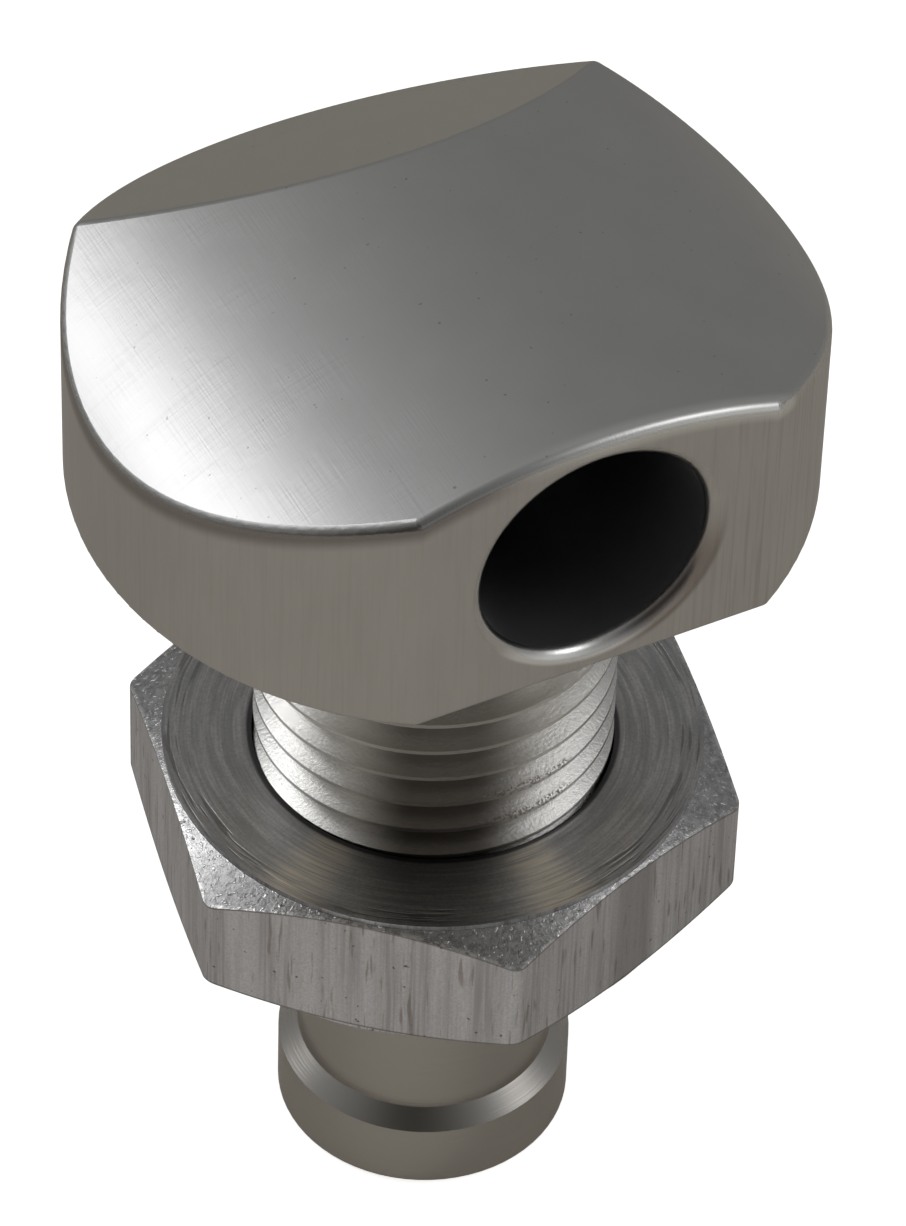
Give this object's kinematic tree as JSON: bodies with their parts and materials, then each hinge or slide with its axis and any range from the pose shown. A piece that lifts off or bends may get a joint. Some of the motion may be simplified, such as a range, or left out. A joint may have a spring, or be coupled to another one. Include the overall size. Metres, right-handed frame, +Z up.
{
  "type": "right-angle bulkhead hose outlet",
  "caption": "Right-angle through-panel outlet: domed round head with a side outlet hole, threaded hollow shank with a thin hex jam nut, and a barbed hose tail.",
  "frame": {"origin": "centre of the head's underside, where it seats on the panel", "axes": "+Z up along the shank towards the head's dome; the outlet opens towards -Y; +X across the head"},
  "size_m": [0.0254, 0.0237, 0.0413],
  "materials": {
    "body_metal": "satin, finely brushed on the dome, turned on the shank and tail",
    "nut_metal": "turned faces, drawn-bar flats with lengthwise streaks and pits"
  },
  "bodies": {
    "fitting": {"outlet_body": "body_metal"},
    "nut": {"jam_nut": "nut_metal"}
  },
  "joints": [
    {"name": "nut_travel", "type": "slide", "parent": "fitting", "child": "nut", "axis": [0, 0, 1], "range_m": [-0.0125, 0.01295]}
  ]
}
